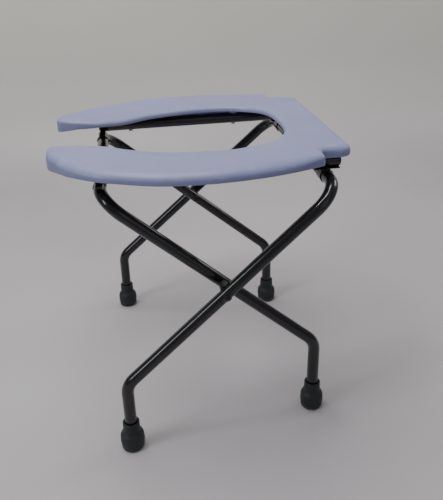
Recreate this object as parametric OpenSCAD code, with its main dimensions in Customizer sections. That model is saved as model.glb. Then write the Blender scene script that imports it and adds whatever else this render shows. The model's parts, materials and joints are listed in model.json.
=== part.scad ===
// Folding commode stool: a horseshoe seat on two crossed U-frames of bent steel tube.
// Millimetres. +Z is up, +Y points to the back of the stool, the seat opens towards -Y.
// The origin is on the floor, under the middle of the stool.

/* [Seat] */
// Height of the seat's top above the floor
seat_top = 457; // [450:1:465]
// Thickness of the moulded top plate and of its skirt walls
seat_wall = 3.5; // [2.5:0.5:5]
// Depth of the skirt round the seat
skirt_depth = 16; // [12:1:18]
// Depth of the wall round the seat's hole
hole_wall_depth = 9; // [6:1:12]
// Depth of the skirt at the front tips of the two arms
tip_depth = 21; // [19:1:26]
// Half the width of the block at the back of the seat
block_half = 158; // [150:1:170]

/* [Frames] */
// Outside diameter of every steel tube
tube_d = 19; // [17:0.5:20]
// Wall thickness of the tubes
tube_wall = 1.2; // [0.8:0.1:2]
// Height of the rear crossbar, on the outer frame
rear_bar_z = 407; // [406:1:408]
// Height of the front crossbar, on the inner frame
front_bar_z = 406; // [402:1:407]
// Bend radius where a leg turns into its crossbar
corner_r = 42; // [36:1:46]
// Bend radius at the knee of each leg
knee_r = 34; // [26:1:45]
// Outer frame: half width at its crossbar, and at its feet
outer_bar_half = 196; // [192:1:200]
outer_foot_half = 209; // [209:1:214]
// Inner frame: half width at its crossbar, and at its feet
inner_bar_half = 161.5; // [158:0.5:164]
inner_foot_half = 170; // [164:0.5:170]

/* [Rails and fittings] */
// Distance of each seat rail from the middle
rail_x = 133; // [132:0.5:138]
// Height of the rails' centre lines
rail_z = 429; // [427.5:0.5:429.5]
// Thickness of the hook and saddle plates
plate_t = 1.3; // [0.9:0.1:1.4]

/* [Feet] */
// Widest diameter of a rubber foot
foot_d = 38; // [34:0.5:38]
// Height of a rubber foot
foot_h = 50; // [45:1:55]

/* [Pivots] */
// Diameter of the two pivot bolts
bolt_d = 6; // [5:0.5:7]
// Radial play of a pin in its hole
play = 0.05; // [0.02:0.01:0.1]

/* [Hidden] */
$fn = 48;

PLASTIC = [0.60, 0.63, 0.72];
BLACK = [0.03, 0.03, 0.035];
RUBBER = [0.07, 0.08, 0.08];
ZINC = [0.72, 0.73, 0.75];

LEFT = -1;                      // the -X side
RIGHT = 1;                      // the +X side
tube_r = tube_d / 2;
bore_r = tube_r - tube_wall;
press = 0.04;                   // radial interference of a pushed-on piece
slack = 0.35;                   // gap beside a face that another piece turns past
bulge = 0.03;                   // how much a bend's wall swells beyond the straight tube
lap = 1;                        // how far a straight stretch runs into the bend

// Corners of the two frames, seen from the side as [y, z]
front_foot_y = -134.5;
rear_foot_y = 170.5;
front_bar_y = -146.5;
rear_bar_y = 186.5;
outer_knee_z = 120;
inner_knee_z = 131;
tube_end_z = 9;

// The legs cross where the two diagonals meet
outer_slope = (rear_bar_z - outer_knee_z) / (rear_bar_y - front_foot_y);
inner_slope = (front_bar_z - inner_knee_z) / (front_bar_y - rear_foot_y);
pivot_y = (inner_knee_z - outer_knee_z + outer_slope * front_foot_y - inner_slope * rear_foot_y)
    / (outer_slope - inner_slope);
pivot_z = outer_knee_z + outer_slope * (pivot_y - front_foot_y);
outer_pivot_x = outer_bar_half
    + (outer_foot_half - outer_bar_half) * (rear_bar_z - pivot_z) / (rear_bar_z - outer_knee_z);
inner_pivot_x = inner_bar_half
    + (inner_foot_half - inner_bar_half) * (front_bar_z - pivot_z) / (front_bar_z - inner_knee_z);

rail_front_y = -149;
rail_rear_y = 205.5;
rail_bottom = rail_z - tube_r;
rail_top = rail_z + tube_r;
seat_screw_y = [-95, 95];
seat_screw_r = 2;
saddle_screw_r = 2;
saddle_screw_reach = 15.5;      // from the crossbar's axis to each saddle screw
saddle_screw_grip = 7;          // room for a saddle screw inside the rail
saddle_w = 18;
plate_bottom = seat_top - seat_wall;

// ---- Curves and frames of reference ----

function unit(v) = v / norm(v);
function columns(x, y, z, o) =
    [[x.x, y.x, z.x, o.x], [x.y, y.y, z.y, o.y], [x.z, y.z, z.z, o.z], [0, 0, 0, 1]];

// A smooth curve through points, by Catmull and Rom, with the given steps on each span
function curve_point(a, b, c, d, t) =
    0.5 * (2 * b + (c - a) * t + (2 * a - 5 * b + 4 * c - d) * t * t
        + (3 * b - a - 3 * c + d) * t * t * t);
function curve(p, steps) = [
    for (i = [0 : len(p) - 2], k = [0 : steps - 1])
        curve_point(p[max(i - 1, 0)], p[i], p[i + 1], p[min(i + 2, len(p) - 1)], k / steps),
    p[len(p) - 1]];
function arc(centre, r, from, to, steps) = [
    for (k = [0 : steps]) let (a = from + (to - from) * k / steps)
        centre + r * [cos(a), sin(a)]];

// ---- Seat outline, right half, as [x, y] from the back round to the back again ----

seat_back_y = 220.5;
seat_front_y = -220.5;
back_corner_r = 20;
outer_side = [[189, 165], [204, 122], [215, 77], [221, 28], [221, -18], [214, -68],
    [197, -113], [180, -149], [153, -184], [122, -208]];
inner_side = [[70, -207], [63, -181], [62.5, -150], [70, -123], [83, -97], [101, -66],
    [113, -27], [119.5, 17], [119, 57], [107.5, 97], [90, 122], [66, 140], [35, 148], [0, 150]];

function half_outline() = concat(
    [[0, seat_back_y]],
    arc([block_half - back_corner_r, seat_back_y - back_corner_r], back_corner_r, 90, 0, 6),
    [[block_half, 174], [162, 170], [183, 168]],
    curve(outer_side, 4),
    [[108, -217], [98, seat_front_y], [85, seat_front_y], [76, -216]],
    curve(inner_side, 4));
function outline() = let (h = half_outline(), n = len(h))
    concat(h, [for (i = [n - 2 : -1 : 1]) [-h[i].x, h[i].y]]);

function hole() = let (h = curve(inner_side, 4), n = len(h))
    concat(h, [for (i = [n - 2 : -1 : 0]) [-h[i].x, h[i].y]]);

// A clockwise outline moved inwards by d, point by point along its normals, or the other kind outwards
function inward(p, q) = let (t = unit(q - p)) [t.y, -t.x];
function shrunk(p, d) = let (n = len(p)) [
    for (i = [0 : n - 1])
        let (a = inward(p[(i + n - 1) % n], p[i]), b = inward(p[i], p[(i + 1) % n]))
            p[i] + d * (a + b) / (1 + a * b)];

// ---- Round tube along a path with bends ----

module rod(a, b, r) {
    z = unit(b - a);
    x = unit(cross(abs(z.x) > 0.9 ? [0, 1, 0] : [1, 0, 0], z));
    multmatrix(columns(x, cross(z, x), z, a)) cylinder(r = r, h = norm(b - a));
}

function turn(a, b, c) = acos(unit(b - a) * unit(c - b));
function setback(p, bends, i) = bends[i - 1] * tan(turn(p[i - 1], p[i], p[i + 1]) / 2);

module tube(a, b) {
    difference() {
        rod(a, b, tube_r);
        rod(a - unit(b - a), b + unit(b - a), bore_r);
    }
}

module elbow(a, b, c, bend_r) {
    d = unit(b - a);
    e = unit(c - b);
    towards_centre = unit(e - (d * e) * d);
    start = b - d * bend_r * tan(turn(a, b, c) / 2);
    multmatrix(columns(-towards_centre, d, cross(-towards_centre, d), start + bend_r * towards_centre))
        rotate_extrude(angle = turn(a, b, c)) translate([bend_r, 0]) difference() {
            circle(r = tube_r + bulge);
            circle(r = bore_r - bulge);
        }
}

module bent_tube(p, bends) {
    for (i = [0 : len(p) - 2]) {
        d = unit(p[i + 1] - p[i]);
        start = i == 0 ? 0 : setback(p, bends, i) - lap;
        end = i == len(p) - 2 ? 0 : setback(p, bends, i + 1) - lap;
        tube(p[i] + d * start, p[i + 1] - d * end);
    }
    for (i = [1 : len(p) - 2])
        elbow(p[i - 1], p[i], p[i + 1], bends[i - 1]);
}

module u_frame(bar_half, bar_y, bar_z, foot_half, foot_y, knee_z) {
    side = [[foot_half, foot_y, tube_end_z], [foot_half, foot_y, knee_z], [bar_half, bar_y, bar_z]];
    path = concat(side, [for (i = [2 : -1 : 0]) [-side[i].x, side[i].y, side[i].z]]);
    color(BLACK) difference() {
        bent_tube(path, [knee_r, corner_r, corner_r, knee_r]);
        translate([0, pivot_y, pivot_z]) rotate([0, 90, 0])
            cylinder(r = bolt_d / 2 + play, h = 2 * bar_half + 90, center = true);
    }
}

module outer_frame() {
    u_frame(outer_bar_half, rear_bar_y, rear_bar_z, outer_foot_half, front_foot_y, outer_knee_z);
}

module inner_frame() {
    u_frame(inner_bar_half, front_bar_y, front_bar_z, inner_foot_half, rear_foot_y, inner_knee_z);
}

// ---- Seat ----

module skirt(depth) {
    translate([0, 0, seat_top - depth]) linear_extrude(depth) difference() {
        polygon(outline());
        polygon(shrunk(outline(), seat_wall));
    }
}

module seat_bosses() {
    for (side = [LEFT, RIGHT], y = seat_screw_y)
        translate([side * rail_x, y, rail_top]) cylinder(r = 7, h = plate_bottom - rail_top);
}

module seat_ribs() {
    rib_depth = 9;
    rib_t = 2.5;
    for (side = [LEFT, RIGHT], y = [-170, -60, -25, 10, 45, 130])
        translate([side * rail_x, y, plate_bottom - rib_depth / 2])
            cube([22, rib_t, rib_depth], center = true);
}

module seat_shell() {
    color(PLASTIC) difference() {
        union() {
            translate([0, 0, plate_bottom]) linear_extrude(seat_wall) polygon(outline());
            skirt(skirt_depth);
            intersection() {
                skirt(tip_depth);
                translate([0, seat_front_y, 0]) cube([500, 90, 2 * seat_top], center = true);
            }
            seat_ribs();
            seat_bosses();
        }
        translate([0, 0, seat_top - 2 * tip_depth]) linear_extrude(2 * tip_depth - hole_wall_depth)
            intersection() {
                polygon(shrunk(hole(), 2 * seat_wall));
                translate([-200, -130]) square([400, 340]);
            }
        for (side = [LEFT, RIGHT], y = seat_screw_y)
            translate([side * rail_x, y, rail_top - 1])
                cylinder(r = seat_screw_r - press, h = 13);
    }
}

// ---- Rails and what holds them ----

module seat_rail(side) {
    color(BLACK) difference() {
        tube([side * rail_x, rail_front_y, rail_z], [side * rail_x, rail_rear_y, rail_z]);
        for (y = seat_screw_y)
            translate([side * rail_x, y, rail_bottom - 1])
                cylinder(r = seat_screw_r + play, h = tube_d + 2);
        for (reach = [-saddle_screw_reach, saddle_screw_reach])
            translate([side * rail_x, rear_bar_y + reach, rail_bottom - 1])
                cylinder(r = saddle_screw_r - press, h = tube_r);
    }
}

// A plug with a low dome, pushed into an open tube end that faces -Y
module rail_plug() {
    color(BLACK) rotate([90, 0, 0]) {
        translate([0, 0, -12]) cylinder(r = bore_r + press, h = 12);
        rotate_extrude() polygon(concat([[0, 0]],
            [for (a = [0 : 15 : 90]) [(tube_r - 0.2) * cos(a) ^ 0.5, 3.5 * sin(a)]]));
    }
}

module rail_plug_front(side) {
    translate([side * rail_x, rail_front_y, rail_z]) rail_plug();
}

module rail_plug_rear(side) {
    difference() {
        translate([side * rail_x, rail_rear_y, rail_z]) mirror([0, 1, 0]) rail_plug();
        translate([side * rail_x, rear_bar_y + saddle_screw_reach, rail_bottom])
            cylinder(r = saddle_screw_r + 0.3, h = saddle_screw_grip);
    }
}

// A bent plate that drops over the front crossbar: deep in front of it, shallow behind it
module front_hook(side) {
    reach = 32;
    lip_w = 8;
    inner_r = tube_r + 0.3;
    pad_w = 10;
    front_z = 0.5;
    rear_z = 4.6;
    shelf_z = 8;
    size = 40;
    color(BLACK) translate([side * (rail_x + tube_r), front_bar_y, front_bar_z]) difference() {
        union() {
            translate([-side * reach / 2, 0, 0]) rotate([0, 90, 0])
                cylinder(r = inner_r + plate_t, h = reach, center = true);
            translate([side > 0 ? -reach : 0, -pad_w / 2, 0])
                cube([reach, pad_w, rail_bottom - front_bar_z]);
        }
        translate([-side * reach / 2, 0, 0]) rotate([0, 90, 0])
            cylinder(r = inner_r, h = reach + 2, center = true);
        translate([-size * 1.5, -size, front_z - size]) cube([3 * size, size, size]);
        translate([-size * 1.5, -0.01, rear_z - size]) cube([3 * size, size, size]);
        translate([side > 0 ? lip_w - reach : -1, -size, shelf_z - size])
            cube([reach - lip_w + 1, 2 * size, size]);
    }
}

module hinge_saddle(side) {
    ring_r = tube_r + play;
    tab_z = rail_bottom - plate_t;
    neck = 10;
    color(BLACK) translate([side * rail_x, rear_bar_y, 0]) difference() {
        union() {
            translate([0, 0, rear_bar_z]) rotate([0, 90, 0])
                cylinder(r = ring_r + plate_t, h = saddle_w, center = true);
            translate([-saddle_w / 2, -20, tab_z]) cube([saddle_w, 40, plate_t]);
            translate([-saddle_w / 2, -neck / 2, rear_bar_z])
                cube([saddle_w, neck, tab_z - rear_bar_z + plate_t / 2]);
        }
        translate([0, 0, rear_bar_z]) rotate([0, 90, 0])
            cylinder(r = ring_r, h = saddle_w + 2, center = true);
        for (y = [-saddle_screw_reach, saddle_screw_reach])
            translate([0, y, tab_z - 1]) cylinder(r = saddle_screw_r + play, h = plate_t + 2);
    }
}

// A pan head screw standing upwards, the underside of its head at the origin
module pan_screw(r, length) {
    color(ZINC) {
        cylinder(r = r, h = length);
        difference() {
            mirror([0, 0, 1]) cylinder(r = 1.9 * r, h = 1.2 * r);
            for (a = [0, 90])
                rotate([0, 0, a]) translate([0, 0, -1.2 * r]) cube([2.2 * r, 0.5 * r, r], center = true);
        }
    }
}

module saddle_screws(side) {
    for (reach = [-saddle_screw_reach, saddle_screw_reach])
        translate([side * rail_x, rear_bar_y + reach, rail_bottom - plate_t])
            pan_screw(saddle_screw_r, plate_t + saddle_screw_grip - 1);
}

module seat_screws(side) {
    for (y = seat_screw_y)
        translate([side * rail_x, y, rail_bottom]) pan_screw(seat_screw_r, tube_d + 11);
}

// ---- Feet ----

module foot(x, y) {
    r = foot_d / 2;
    collar_r = 13.3;
    tread_r = 0.8 * r;
    recess_r = 0.45 * r;
    profile = [[0, 2], [recess_r, 2], [recess_r + 1.5, 0], [tread_r, 0], [r - 2.2, 1.2], [r - 1, 3.6],
        [r - 0.7, 10.6], [r - 1.5, 11.4], [r - 1.5, 12.4], [r, 13.2], [r, 16], [r - 0.5, 24],
        [r - 1.6, 27], [collar_r + 1.2, 30.5], [collar_r + 0.3, 32.5], [collar_r, 35],
        [collar_r - 0.2, foot_h - 1], [collar_r - 1, foot_h], [tube_r + 1.2, foot_h],
        [tube_r - press, foot_h - 3], [tube_r - press, tube_end_z], [0, tube_end_z]];
    color(RUBBER) translate([x, y, 0]) rotate_extrude() polygon(profile);
}

// ---- Pivots ----

module on_pivot(side) {
    translate([0, pivot_y, pivot_z]) mirror([side < 0 ? 1 : 0, 0, 0]) rotate([0, 90, 0]) children();
}

module ring(from, to, r, hole_r) {
    translate([0, 0, from]) difference() {
        cylinder(r = r, h = to - from);
        translate([0, 0, -1]) cylinder(r = hole_r, h = to - from + 2);
    }
}

washer_t = 1;
head_x = outer_pivot_x + tube_r + slack + washer_t;
nut_x = inner_pivot_x - tube_r - slack - washer_t;
nut_h = 5.5;

module pivot_bolt(side) {
    dome_h = 2.4;
    dome_r = 5.6;
    on_pivot(side) color(BLACK) {
        translate([0, 0, nut_x - nut_h + 2]) cylinder(r = bolt_d / 2, h = head_x - nut_x + nut_h - 1);
        translate([0, 0, head_x]) rotate_extrude() polygon(concat([[0, 0]],
            [for (a = [0 : 15 : 90]) [dome_r * cos(a), dome_h * sin(a)]]));
    }
}

module pivot_head_washer(side) {
    on_pivot(side) color(BLACK)
        ring(head_x - washer_t, head_x, 6.6, bolt_d / 2 + play);
}

module pivot_spacer(side) {
    on_pivot(side) color(BLACK)
        ring(inner_pivot_x + tube_r + slack, outer_pivot_x - tube_r - slack, 7, bolt_d / 2 + play);
}

module pivot_nut_washer(side) {
    on_pivot(side) color(BLACK) ring(nut_x, nut_x + washer_t, 6.2, bolt_d / 2 + play);
}

module pivot_nut(side) {
    flat_h = 3;
    on_pivot(side) color(BLACK) difference() {
        union() {
            translate([0, 0, nut_x - flat_h]) cylinder(r = 5.4, h = flat_h, $fn = 6);
            translate([0, 0, nut_x - flat_h]) mirror([0, 0, 1]) rotate_extrude() polygon(concat([[0, 0]],
                [for (a = [0 : 15 : 90]) [4.4 * cos(a), (nut_h - flat_h) * sin(a)]]));
        }
        translate([0, 0, nut_x - nut_h + 2]) cylinder(r = bolt_d / 2 - press, h = nut_h);
    }
}

seat_shell();
seat_rail(LEFT);  // seat_rail_left
seat_rail(RIGHT);  // seat_rail_right
rail_plug_front(LEFT);  // rail_plug_front_left
rail_plug_front(RIGHT);  // rail_plug_front_right
rail_plug_rear(LEFT);  // rail_plug_rear_left
rail_plug_rear(RIGHT);  // rail_plug_rear_right
front_hook(LEFT);  // front_hook_left
front_hook(RIGHT);  // front_hook_right
hinge_saddle(LEFT);  // hinge_saddle_left
hinge_saddle(RIGHT);  // hinge_saddle_right
saddle_screws(LEFT);  // saddle_screws_left
saddle_screws(RIGHT);  // saddle_screws_right
seat_screws(LEFT);  // seat_screws_left
seat_screws(RIGHT);  // seat_screws_right
outer_frame();
inner_frame();
foot(LEFT * outer_foot_half, front_foot_y);  // foot_front_left
foot(RIGHT * outer_foot_half, front_foot_y);  // foot_front_right
foot(LEFT * inner_foot_half, rear_foot_y);  // foot_rear_left
foot(RIGHT * inner_foot_half, rear_foot_y);  // foot_rear_right
pivot_bolt(LEFT);  // pivot_bolt_left
pivot_bolt(RIGHT);  // pivot_bolt_right
pivot_head_washer(LEFT);  // pivot_head_washer_left
pivot_head_washer(RIGHT);  // pivot_head_washer_right
pivot_spacer(LEFT);  // pivot_spacer_left
pivot_spacer(RIGHT);  // pivot_spacer_right
pivot_nut_washer(LEFT);  // pivot_nut_washer_left
pivot_nut_washer(RIGHT);  // pivot_nut_washer_right
pivot_nut(LEFT);  // pivot_nut_left
pivot_nut(RIGHT);  // pivot_nut_right
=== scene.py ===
"""Looks of the folding commode stool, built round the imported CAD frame. Metres, +Z up, +Y to the back."""
import json
import math

import bmesh
import bpy
from mathutils import Matrix, Vector


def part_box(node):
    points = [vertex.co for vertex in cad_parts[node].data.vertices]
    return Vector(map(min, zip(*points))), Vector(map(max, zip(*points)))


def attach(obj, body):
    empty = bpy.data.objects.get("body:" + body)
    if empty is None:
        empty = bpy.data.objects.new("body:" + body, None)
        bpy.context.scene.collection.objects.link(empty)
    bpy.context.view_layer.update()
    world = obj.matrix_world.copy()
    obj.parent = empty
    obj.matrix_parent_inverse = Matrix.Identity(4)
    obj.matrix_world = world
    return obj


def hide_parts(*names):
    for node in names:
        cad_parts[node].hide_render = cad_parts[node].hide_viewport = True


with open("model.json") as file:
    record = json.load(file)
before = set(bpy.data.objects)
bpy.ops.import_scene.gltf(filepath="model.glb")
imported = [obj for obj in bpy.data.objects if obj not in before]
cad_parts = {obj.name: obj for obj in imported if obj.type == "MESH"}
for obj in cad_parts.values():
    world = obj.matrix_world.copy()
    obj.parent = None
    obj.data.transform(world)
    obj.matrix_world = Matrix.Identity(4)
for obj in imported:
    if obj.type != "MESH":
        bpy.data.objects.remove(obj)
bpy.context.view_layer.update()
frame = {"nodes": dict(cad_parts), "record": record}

MM = 0.001
CAMERA_PLACE = (0.9320, -0.0928, 0.7277)
CAMERA_TURN = (82.04, 24.62, -1.71)     # azimuth, elevation and roll, in degrees
CAMERA_LENS = 42.69
CAMERA_SHIFT = (0.0126, -0.0729)
STOOL_MIDDLE = (0, 0, 0.25)             # where the lights aim


# ---------------------------------------------------------------- camera and stage

def rotation_facing(azimuth, elevation, roll):
    """Camera axes for a view from that azimuth and elevation, turned by roll, all in degrees."""
    a, e, r = (math.radians(v) for v in (azimuth, elevation, roll))
    back = Vector((math.sin(a) * math.cos(e), -math.cos(a) * math.cos(e), math.sin(e)))
    right = (-back).cross(Vector((0, 0, 1))).normalized()
    up = right.cross(-back)
    x = math.cos(r) * right + math.sin(r) * up
    y = math.cos(r) * up - math.sin(r) * right
    return Matrix((x, y, back)).transposed()


def make_camera():
    """The camera, from the right of the stool and a little above the seat."""
    data = bpy.data.cameras.new("camera")
    data.sensor_fit = "AUTO"
    data.sensor_width = 36
    data.lens = CAMERA_LENS
    data.shift_x, data.shift_y = CAMERA_SHIFT
    data.clip_start = 0.05
    data.clip_end = 50
    camera = bpy.data.objects.new("camera", data)
    camera.matrix_world = Matrix.Translation(CAMERA_PLACE) @ rotation_facing(*CAMERA_TURN).to_4x4()
    bpy.context.collection.objects.link(camera)
    bpy.context.scene.camera = camera


def area_light(name, place, size, power, colour=(1, 1, 1)):
    """A soft light aimed at the stool. Its size is one side of a square, or the two sides of an oblong."""
    data = bpy.data.lights.new(name, "AREA")
    data.energy = power
    data.color = colour
    if isinstance(size, tuple):
        data.shape = "RECTANGLE"
        data.size, data.size_y = size
    else:
        data.size = size
    light = bpy.data.objects.new(name, data)
    light.location = place
    light.rotation_mode = "QUATERNION"
    light.rotation_quaternion = (Vector(STOOL_MIDDLE) - Vector(place)).to_track_quat("-Z", "Y")
    bpy.context.collection.objects.link(light)


def make_stage():
    """A pale floor that sweeps up into a pale wall beside the stool, and the room's even light."""
    wall_x = -1.15
    wall_height = 4.0
    bend = 0.35
    reach = 4.5
    profile = [(reach, 0.0), (wall_x + bend, 0.0)]
    profile += [(wall_x + bend - bend * math.sin(a), bend - bend * math.cos(a))
                for a in (math.radians(5 * k) for k in range(1, 19))]
    profile += [(wall_x, wall_height)]
    mesh = bpy.data.meshes.new("floor")
    bm = bmesh.new()
    rows = [[bm.verts.new((x, y, z)) for x, z in profile] for y in (-reach, reach)]
    for i in range(len(profile) - 1):
        bm.faces.new((rows[0][i], rows[0][i + 1], rows[1][i + 1], rows[1][i]))
    bm.to_mesh(mesh)
    bm.free()
    mesh.polygons.foreach_set("use_smooth", [True] * len(mesh.polygons))
    floor = bpy.data.objects.new("floor", mesh)
    bpy.context.collection.objects.link(floor)
    mesh.materials.append(floor_material())

    world = bpy.data.worlds.new("world")
    world.use_nodes = True
    background = world.node_tree.nodes["Background"]
    background.inputs["Color"].default_value = (0.82, 0.83, 0.90, 1)
    background.inputs["Strength"].default_value = 0.24
    bpy.context.scene.world = world


def make_lights():
    area_light("ceiling", (-0.1, -0.3, 2.3), 1.3, 36, (1.0, 0.98, 0.96))
    area_light("window", (0.9, -2.0, 1.3), (0.5, 1.1), 11, (0.93, 0.96, 1.0))
    area_light("fill", (2.2, 1.0, 1.2), 1.6, 2.5)
    area_light("tube_light", (0.35, -0.75, 1.9), (0.06, 0.5), 4, (1.0, 0.99, 0.97))
    area_light("back_window", (-0.6, 1.9, 1.5), 0.8, 8, (1.0, 0.97, 0.93))


# ---------------------------------------------------------------- materials

class Nodes:
    """A short way to write a material's node tree."""

    def __init__(self, name):
        self.material = bpy.data.materials.new(name)
        self.material.use_nodes = True
        self.tree = self.material.node_tree
        self.shader = self.tree.nodes["Principled BSDF"]

    def add(self, kind, **values):
        node = self.tree.nodes.new(kind)
        for key, value in values.items():
            if key in node.inputs:
                node.inputs[key].default_value = value
            else:
                setattr(node, key, value)
        return node

    def link(self, out_socket, in_socket):
        self.tree.links.new(out_socket, in_socket)

    def position(self):
        return self.add("ShaderNodeTexCoord").outputs["Object"]

    def noise(self, scale, detail=4.0, roughness=0.55, where=None):
        node = self.add("ShaderNodeTexNoise", Scale=scale, Detail=detail, Roughness=roughness)
        self.link(where or self.position(), node.inputs["Vector"])
        return node.outputs["Fac"]

    def ramp(self, value, stops):
        """stops: (position, grey or colour) pairs."""
        node = self.add("ShaderNodeValToRGB")
        elements = node.color_ramp.elements
        while len(elements) < len(stops):
            elements.new(0.5)
        for element, (place, colour) in zip(elements, stops):
            element.position = place
            element.color = (*([colour] * 3 if isinstance(colour, (int, float)) else colour), 1)
        self.link(value, node.inputs["Fac"])
        return node.outputs["Color"]

    def mix(self, factor, a, b, blend="MIX"):
        node = self.tree.nodes.new("ShaderNodeMix")
        node.data_type = "RGBA"
        node.blend_type = blend
        for socket, value in ((node.inputs[0], factor), (node.inputs[6], a), (node.inputs[7], b)):
            if isinstance(value, bpy.types.NodeSocket):
                self.link(value, socket)
            else:
                socket.default_value = value if isinstance(value, float) else (*value, 1)
        return node.outputs[2]

    def multiply(self, a, b):
        node = self.add("ShaderNodeMath", operation="MULTIPLY")
        for socket, value in zip(node.inputs, (a, b)):
            if isinstance(value, bpy.types.NodeSocket):
                self.link(value, socket)
            else:
                socket.default_value = value
        return node.outputs[0]

    def bump(self, layers):
        """layers: (height socket, strength, distance in metres), each laid over the last."""
        last = None
        for height, strength, distance in layers:
            node = self.add("ShaderNodeBump", Strength=strength, Distance=distance)
            self.link(height, node.inputs["Height"])
            if last is not None:
                self.link(last, node.inputs["Normal"])
            last = node.outputs["Normal"]
        self.link(last, self.shader.inputs["Normal"])

    def edges(self, low, high):
        """White on convex edges, by pointiness."""
        point = self.add("ShaderNodeNewGeometry").outputs["Pointiness"]
        return self.ramp(point, ((low, 0.0), (high, 1.0)))

    def upward(self, low, high):
        """White where the surface faces up."""
        normal = self.add("ShaderNodeNewGeometry").outputs["Normal"]
        split = self.add("ShaderNodeSeparateXYZ")
        self.link(normal, split.inputs[0])
        return self.ramp(split.outputs["Z"], ((low, 0.0), (high, 1.0)))

    def set(self, **values):
        for key, value in values.items():
            socket = self.shader.inputs[key.replace("_", " ")]
            if isinstance(value, bpy.types.NodeSocket):
                self.link(value, socket)
            else:
                socket.default_value = (*value, 1) if isinstance(value, tuple) else value
        return self.material


def floor_material():
    """Pale stone floor, faintly clouded, that turns into cream wall paint as it rises."""
    n = Nodes("floor")
    stone = n.ramp(n.noise(1.3, 3.0), ((0.35, (0.450, 0.432, 0.452)), (0.65, (0.500, 0.482, 0.500))))
    paint = n.ramp(n.noise(0.8, 3.0), ((0.35, (0.660, 0.655, 0.600)), (0.65, (0.700, 0.690, 0.640))))
    height = n.add("ShaderNodeSeparateXYZ")
    n.link(n.position(), height.inputs[0])
    rise = n.ramp(height.outputs["Z"], ((0.02, 0.0), (0.35, 1.0)))
    n.bump([(n.noise(260.0, 3.0), 0.05, 0.0004)])
    return n.set(Base_Color=n.mix(rise, stone, paint), Roughness=0.42, Specular_IOR_Level=0.3)


def plastic_material():
    """Moulded polypropylene: fine spark-eroded grain, faint clouding, dust and scuffed edges."""
    n = Nodes("seat_plastic")
    cloud = n.ramp(n.noise(7.0, 3.0), ((0.35, (0.240, 0.260, 0.446)), (0.68, (0.256, 0.277, 0.470))))
    flecks = n.ramp(n.noise(420.0, 2.0), ((0.30, (0.86, 0.86, 0.88)), (0.62, (1.0, 1.0, 1.0))))
    body = n.mix(0.5, cloud, flecks, "MULTIPLY")
    scuffs = n.multiply(n.edges(0.505, 0.53), n.ramp(n.noise(55.0, 5.0), ((0.50, 0.0), (0.66, 0.18))))
    worn = n.mix(scuffs, body, (0.46, 0.48, 0.60))
    dust = n.multiply(n.upward(0.75, 1.0), n.ramp(n.noise(22.0, 6.0), ((0.52, 0.0), (0.80, 0.16))))
    colour = n.mix(dust, worn, (0.40, 0.40, 0.46))
    gloss = n.ramp(n.noise(30.0, 5.0), ((0.3, 0.36), (0.7, 0.47)))
    grain = n.noise(1500.0, 2.0)
    swirl = n.noise(60.0, 3.0)
    n.bump([(grain, 0.22, 0.00012), (swirl, 0.05, 0.0004)])
    return n.set(Base_Color=colour, Roughness=gloss, Specular_IOR_Level=0.45)


def enamel_material():
    """Gloss black stoving enamel on the tubes, hooks and saddles: orange peel, dents, chips and dust."""
    n = Nodes("black_paint")
    tint = n.ramp(n.noise(14.0, 4.0), ((0.35, (0.0055, 0.0055, 0.0075)), (0.70, (0.013, 0.012, 0.014))))
    dust = n.multiply(n.upward(0.25, 0.95), n.ramp(n.noise(95.0, 8.0, 0.7), ((0.55, 0.0), (0.78, 0.10))))
    dusty = n.mix(dust, tint, (0.07, 0.068, 0.066))
    chips = n.ramp(n.noise(260.0, 3.0), ((0.735, 0.0), (0.75, 0.5)))
    colour = n.mix(chips, dusty, (0.10, 0.10, 0.105))
    gloss = n.ramp(n.noise(46.0, 6.0, 0.6), ((0.30, 0.10), (0.72, 0.27)))
    peel = n.noise(330.0, 2.0)
    dents = n.noise(75.0, 3.0)
    n.bump([(dents, 0.10, 0.0006), (peel, 0.10, 0.0002)])
    return n.set(Base_Color=colour, Roughness=gloss, Specular_IOR_Level=0.42,
                 Coat_Weight=0.35, Coat_Roughness=0.08)


def rubber_material():
    """Moulded black rubber: matt, slightly blue-green, greyed with floor dust low down."""
    n = Nodes("foot_rubber")
    tint = n.ramp(n.noise(60.0, 4.0), ((0.3, (0.012, 0.016, 0.017)), (0.7, (0.022, 0.027, 0.028))))
    height = n.add("ShaderNodeSeparateXYZ")
    n.link(n.position(), height.inputs[0])
    low = n.ramp(height.outputs["Z"], ((0.0, 1.0), (0.020, 0.0)))
    dust = n.multiply(low, n.ramp(n.noise(170.0, 6.0), ((0.42, 0.05), (0.70, 0.55))))
    colour = n.mix(dust, tint, (0.10, 0.105, 0.10))
    gloss = n.ramp(n.noise(120.0, 4.0), ((0.3, 0.46), (0.7, 0.62)))
    n.bump([(n.noise(900.0, 3.0), 0.25, 0.0002), (n.noise(110.0, 3.0), 0.08, 0.0005)])
    return n.set(Base_Color=colour, Roughness=gloss, Specular_IOR_Level=0.4)


def black_plastic_material():
    """Smooth black plastic of the rails' plugs and the pivots' spacers."""
    n = Nodes("black_plastic")
    tint = n.ramp(n.noise(70.0, 4.0), ((0.3, (0.010, 0.013, 0.012)), (0.7, (0.020, 0.024, 0.022))))
    gloss = n.ramp(n.noise(80.0, 5.0), ((0.3, 0.32), (0.7, 0.48)))
    n.bump([(n.noise(700.0, 2.0), 0.15, 0.00015)])
    return n.set(Base_Color=tint, Roughness=gloss)


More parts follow.
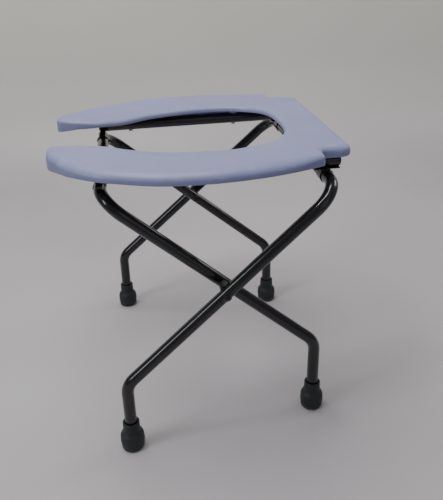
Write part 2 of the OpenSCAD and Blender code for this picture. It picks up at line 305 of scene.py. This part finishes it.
def black_fastener_material():
    """Blackened steel of the pivots' bolts, washers and nuts, rubbed along its edges."""
    n = Nodes("black_fastener")
    tint = n.ramp(n.noise(120.0, 4.0), ((0.3, (0.008, 0.008, 0.010)), (0.7, (0.018, 0.017, 0.018))))
    rubbed = n.multiply(n.edges(0.53, 0.60), n.ramp(n.noise(260.0, 4.0), ((0.48, 0.0), (0.6, 0.8))))
    colour = n.mix(rubbed, tint, (0.20, 0.20, 0.20))
    gloss = n.ramp(n.noise(150.0, 4.0), ((0.3, 0.22), (0.7, 0.38)))
    n.bump([(n.noise(500.0, 3.0), 0.15, 0.0001)])
    return n.set(Base_Color=colour, Roughness=gloss, Metallic=0.3)


def zinc_material():
    """Bright zinc plate of the screws, with the cloudy grain of the plating."""
    n = Nodes("zinc")
    tint = n.ramp(n.noise(230.0, 5.0), ((0.3, (0.50, 0.51, 0.53)), (0.7, (0.66, 0.67, 0.69))))
    gloss = n.ramp(n.noise(420.0, 4.0), ((0.3, 0.18), (0.7, 0.36)))
    n.bump([(n.noise(1300.0, 3.0), 0.2, 0.00006)])
    return n.set(Base_Color=tint, Roughness=gloss, Metallic=1.0)


MATERIALS = {
    "seat_plastic": plastic_material(),
    "black_paint": enamel_material(),
    "black_plastic": black_plastic_material(),
    "black_fastener": black_fastener_material(),
    "foot_rubber": rubber_material(),
    "zinc": zinc_material(),
}


def dress_cad_nodes():
    """Every CAD node gets the procedural material of its slot in the record."""
    for part in frame["record"]["subparts"]:
        piece = frame["nodes"][part["node"]]
        for slot in piece.material_slots:
            slot.material = MATERIALS[part["material_slot"]]


# ---------------------------------------------------------------- the seat, in millimetres

TOP = 457.0         # height of the flat part of the seat's top
WALL = 3.2          # thickness of the moulding
RING_STEPS = 7      # rows round each rolled edge
COLUMNS = 14        # cells across the top, between the rolled edges

BACK_EDGE = 220.5
BLOCK_SIDE = 158.0
BLOCK_CORNER = 20.0             # radius of the rear block's corners
CREASE_START = 176.0            # where the block's side turns out into the arm
CREASE_RADIUS = 5.0
SHOULDER, SHOULDER_RADIUS = (180.9, 160.1), 9.0
CREASE = (172, 168)             # middle of the crease, where the rolled edge is tight

# Width and depth of the rolled edge
ARM_ROLL = (19.0, 11.5)
CREASE_ROLL = (8.0, 7.5)
HOLE_ROLL = (7.0, 6.0)
FRONT_ROLL = (10.0, 8.0)
BLOCK_ROLL_WIDTH = 13.0
TIP_ROLL_WIDTH = 12.0
CREASE_REACH = (14, 60)         # distances from the crease over which the roll widens

LIP = 0.9                       # rounding of the skirt's lower edge
SOFT = 0.25                     # and the middle of that rounding
LEAST_SKIRT = 1.6
FRONT_LOWER = 436.2             # lower edge of the skirt across the tips

RIB_SIZE, RIB_Z = (22, 2.5, 9.5), 449.5
RIB_Y = (-170, -60, -25, 10, 45, 130)
RIB_BEVEL = 0.4
WEB_WIDTH, WEB_LENGTH = 2.4, 290
WEB_GAP = 0.3                   # between a rail and the web over it
BOSS_RADIUS, BOSS_Y = 7, (-95, 95)
BOSS_SINK = 0.4                 # how far a boss runs into the top

# Control points of the right half, back to front: the arm's outer side, then the hole's side
ARM_OUTSIDE = [(189.4, 163.2), (204, 122), (215, 77), (221, 28), (221, -18), (214, -68), (197, -113),
               (180, -149), (153, -184), (121, -207), (109, -215), (98, -219)]
HOLE_SIDE = [(0, 150), (35, 148), (66, 140), (90, 122), (107.5, 97), (119, 57), (119.5, 17), (113, -27),
             (101, -66), (83, -97), (70, -123), (62.5, -150), (62.5, -181), (68, -205), (72, -214),
             (79, -218.4), (87, -219)]
# Places that face each other on the outer side and on the hole's side, and the cells between them
FACING = [((0, BACK_EDGE), (0, 150), 0), ((BLOCK_SIDE - BLOCK_CORNER, BACK_EDGE), (52, 145), 36),
          ((BLOCK_SIDE, CREASE_START), (84, 128), 18), ((189.4, 163.2), (97, 113), 16),
          ((215, 77), (119, 57), 26), ((221, -18), (114, -20), 26), ((197, -113), (72, -110), 28),
          ((153, -184), (61, -168), 26), ((98, -219), (87, -219), 26)]


def spline(points, steps=12):
    """A Catmull-Rom curve through the points."""
    p = [Vector(v) for v in points]
    line = []
    for i in range(len(p) - 1):
        a, b, c, d = p[max(i - 1, 0)], p[i], p[i + 1], p[min(i + 2, len(p) - 1)]
        for k in range(steps):
            t = k / steps
            line.append(0.5 * (2 * b + (c - a) * t + (2 * a - 5 * b + 4 * c - d) * t * t
                               + (3 * b - a - 3 * c + d) * t ** 3))
    return line + [p[-1]]


def arc(centre, radius, start, end, steps):
    """Points on an arc from angle start to end, in degrees."""
    angles = [math.radians(start + (end - start) * k / steps) for k in range(steps + 1)]
    return [Vector(centre) + radius * Vector((math.cos(a), math.sin(a))) for a in angles]


def outer_line():
    """Right half of the outer edge: the block's back, corner and side, the crease, the arm."""
    corner = (BLOCK_SIDE - BLOCK_CORNER, BACK_EDGE - BLOCK_CORNER)
    crease = (BLOCK_SIDE + CREASE_RADIUS, CREASE_START)
    return ([Vector((0, BACK_EDGE))] + arc(corner, BLOCK_CORNER, 90, 0, 10)
            + arc(crease, CREASE_RADIUS, 180, 268, 5) + arc(SHOULDER, SHOULDER_RADIUS, 84, 24, 8)
            + spline(ARM_OUTSIDE))


def paced(line, stations):
    """Points on the line, evenly spaced between (place, cells) stations."""
    lengths = [0.0]
    for a, b in zip(line, line[1:]):
        lengths.append(lengths[-1] + (b - a).length)

    def at(distance):
        i = next((k for k in range(1, len(line) - 1) if lengths[k] >= distance), len(line) - 1)
        share = (distance - lengths[i - 1]) / max(lengths[i] - lengths[i - 1], 1e-9)
        return line[i - 1].lerp(line[i], min(max(share, 0.0), 1.0))

    marks = [lengths[min(range(len(line)), key=lambda k: (line[k] - Vector(place)).length)]
             for place, _ in stations]
    points = [at(marks[0])]
    for (start, end), (_, cells) in zip(zip(marks, marks[1:]), stations[1:]):
        points += [at(start + (end - start) * k / cells) for k in range(1, cells + 1)]
    return points


def between(stops, value):
    """Smooth interpolation through (position, height) stops."""
    if value <= stops[0][0]:
        return stops[0][1]
    for (a, low), (b, high) in zip(stops, stops[1:]):
        if value <= b:
            t = (value - a) / (b - a)
            return low + (high - low) * t * t * (3 - 2 * t)
    return stops[-1][1]


def top_height(place, from_hole):
    """Height of the top, before its edges are rolled: the tips rise, and it dips towards the hole."""
    y = place.y
    rise = between([(-222, 5.5), (-182, 2.2), (-145, 0.0)], y)
    dip = between([(-190, 0.0), (-150, -1.5), (-100, -4.6), (-42, -4.2), (30, -3.2), (101, -2.0),
                   (140, 0.0)], y)
    return TOP + rise + dip * between([(0, 1.0), (42, 0.0)], from_hole)


def smoothed(values, reach):
    """Running mean round a closed loop."""
    n = len(values)
    return [sum(values[(i + k) % n] for k in range(-reach, reach + 1)) / (2 * reach + 1) for i in range(n)]


def seat_loop():
    """The seat's edge as one clockwise loop.

    Gives the places, the width and depth of the roll, the lower edge, the distance from the hole, and
    how many places lie along the outer side.
    """
    outside = paced(outer_line(), [(o, cells) for o, _, cells in FACING])
    hole = paced(spline(HOLE_SIDE), [(i, cells) for _, i, cells in FACING])

    def both_arms(line):
        return [Vector((-p.x, p.y)) for p in reversed(line)] + line[1:]

    outside, hole = both_arms(outside), both_arms(hole)
    front = [outside[-1].lerp(hole[-1], j / COLUMNS) for j in range(1, COLUMNS)]
    left_front = [Vector((-p.x, p.y)) for p in reversed(front)]
    places = outside + front + hole[::-1] + left_front
    rows = len(outside)
    widths, depths, lower, from_hole = [], [], [], []
    for i, p in enumerate(places):
        if i < rows:
            notch = (Vector((abs(p.x), p.y)) - Vector(CREASE)).length
            full_width = ARM_ROLL[0] if p.y < CREASE[1] else BLOCK_ROLL_WIDTH
            widths.append(min(between(list(zip(CREASE_REACH, (CREASE_ROLL[0], full_width))), notch),
                              between([(-219, TIP_ROLL_WIDTH), (-185, ARM_ROLL[0])], p.y)))
            depths.append(between(list(zip(CREASE_REACH, (CREASE_ROLL[1], ARM_ROLL[1]))), notch))
            lower.append(between([(-219, 435.6), (-208, 437.2), (-196, 439.2), (-176, 440.7)], p.y))
            from_hole.append((p - hole[i]).length)
        elif rows + len(front) <= i < 2 * rows + len(front):
            widths.append(HOLE_ROLL[0])
            depths.append(HOLE_ROLL[1])
            depth = between([(-219, 23.0), (-205, 19.0), (-182, 13.5), (-146, 9.2)], p.y)
            lower.append(top_height(p, 0.0) - depth)
            from_hole.append(0.0)
        else:
            widths.append(FRONT_ROLL[0])
            depths.append(FRONT_ROLL[1])
            lower.append(FRONT_LOWER)
            from_hole.append(min((p - hole[0]).length, (p - hole[-1]).length))
    return places, smoothed(widths, 5), smoothed(depths, 5), smoothed(lower, 3), from_hole, rows


def seat_mesh():
    """The moulded horseshoe: rolled edges, a thin skirt, and the same skin seen from below."""
    places, widths, depths, lower, from_hole, rows = seat_loop()
    count = len(places)
    inward = []
    for i in range(count):
        along = (places[(i + 1) % count] - places[i - 1]).normalized()
        inward.append(Vector((along.y, -along.x)))
    bm = bmesh.new()

    def vertex(place, z):
        return bm.verts.new((place.x, place.y, z))

    def roll(skin):
        """Rings round the rolled edge, from its foot to the flat, for a skin that far inside the surface."""
        rings = []
        for k in range(RING_STEPS + 1):
            angle = math.radians(90 * k / RING_STEPS)
            ring = []
            for p, n, width, depth, d in zip(places, inward, widths, depths, from_hole):
                reach = skin + (width - skin) * (1 - math.cos(angle))
                inside = reach if d == 0.0 else d - reach
                z = top_height(p + n * reach, inside) - depth + (depth - skin) * math.sin(angle)
                ring.append(vertex(p + n * reach, z))
            rings.append(ring)
        return rings

    outside, inside = roll(0.0), roll(WALL)
    # Down the skirt and round its lower edge: how far inside the surface, and how far above the edge.
    # No height means halfway down.
    section = ((0.0, None), (0.0, LIP), (SOFT, SOFT), (LIP, 0.0), (WALL - LIP, 0.0), (WALL - SOFT, SOFT),
               (WALL, LIP))
    skirt = []
    for inset, lift in section:
        ring = []
        for i, (p, n, z) in enumerate(zip(places, inward, lower)):
            foot = outside[0][i].co.z
            z = min(z, foot - LEAST_SKIRT)
            ring.append(vertex(p + n * inset, 0.5 * (foot + z) if lift is None else z + lift))
        skirt.append(ring)
    chain = outside[::-1] + skirt + inside
    for a, b in zip(chain, chain[1:]):
        for i in range(count):
            j = (i + 1) % count
            bm.faces.new((a[i], a[j], b[j], b[i]))

    front = COLUMNS - 1

    def top_grid(ring, drop):
        """Fills a skin's last ring with rows that run from the outer side to the hole's side."""
        grid = []
        for i in range(rows):
            start, end = ring[i], ring[2 * rows + front - 1 - i]
            if i == 0:
                middle = ring[2 * rows + front:][::-1]
            elif i == rows - 1:
                middle = ring[rows:rows + front]
            else:
                middle = []
                hole_edge = places[2 * rows + front - 1 - i]
                for j in range(1, COLUMNS):
                    p = start.co.lerp(end.co, j / COLUMNS).to_2d()
                    middle.append(vertex(p, top_height(p, (p - hole_edge).length) - drop))
            grid.append([start, *middle, end])
        for a, b in zip(grid, grid[1:]):
            for j in range(COLUMNS):
                quad = (a[j], b[j], b[j + 1], a[j + 1])
                bm.faces.new(quad[::-1] if drop == 0.0 else quad)

    top_grid(outside[-1], 0.0)
    top_grid(inside[-1], WALL)
    bmesh.ops.recalc_face_normals(bm, faces=bm.faces)
    return bm


def add_block(bm, centre, size):
    """An upright box; gives back what Blender made, with its vertices."""
    placing = Matrix.Translation(centre) @ Matrix.Diagonal((*size, 1))
    return bmesh.ops.create_cube(bm, size=1.0, matrix=placing)


def add_ribs_and_bosses(bm):
    """Under the top: a web along each rail with cross ribs, and the bosses that take the seat screws."""
    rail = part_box("seat_rail_right")
    rail_x = (rail[0][0] + rail[1][0]) / 2 / MM
    rail_top = rail[1][2] / MM
    web_low, web_top = rail_top + WEB_GAP, TOP - WALL
    boss_height = web_top + BOSS_SINK - rail_top
    ribs = []
    for x in (-rail_x, rail_x):
        add_block(bm, (x, 0, (web_low + web_top) / 2), (WEB_WIDTH, WEB_LENGTH, web_top - web_low))
        for y in BOSS_Y:
            bmesh.ops.create_cone(bm, cap_ends=True, segments=32, radius1=BOSS_RADIUS, radius2=BOSS_RADIUS,
                                  depth=boss_height,
                                  matrix=Matrix.Translation((x, y, rail_top + boss_height / 2)))
        ribs += [add_block(bm, (x, y, RIB_Z), RIB_SIZE) for y in RIB_Y]
    # Nothing is made after the bevel, since the order of the faces would then change from run to run
    edges = dict.fromkeys(edge for rib in ribs for corner in rib["verts"] for edge in corner.link_edges)
    bmesh.ops.bevel(bm, geom=list(edges), offset=RIB_BEVEL, segments=2, affect="EDGES")


def make_seat():
    """The seat as Blender shows it, in place of the plain CAD shell."""
    bm = seat_mesh()
    add_ribs_and_bosses(bm)
    bmesh.ops.scale(bm, vec=(MM, MM, MM), verts=bm.verts)
    mesh = bpy.data.meshes.new("seat")
    bm.to_mesh(mesh)
    bm.free()
    mesh.polygons.foreach_set("use_smooth", [True] * len(mesh.polygons))
    mesh.materials.append(MATERIALS["seat_plastic"])
    seat = bpy.data.objects.new("seat", mesh)
    bpy.context.collection.objects.link(seat)
    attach(seat, "seat")
    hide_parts("seat_shell")


make_camera()
make_stage()
make_lights()
dress_cad_nodes()
make_seat()
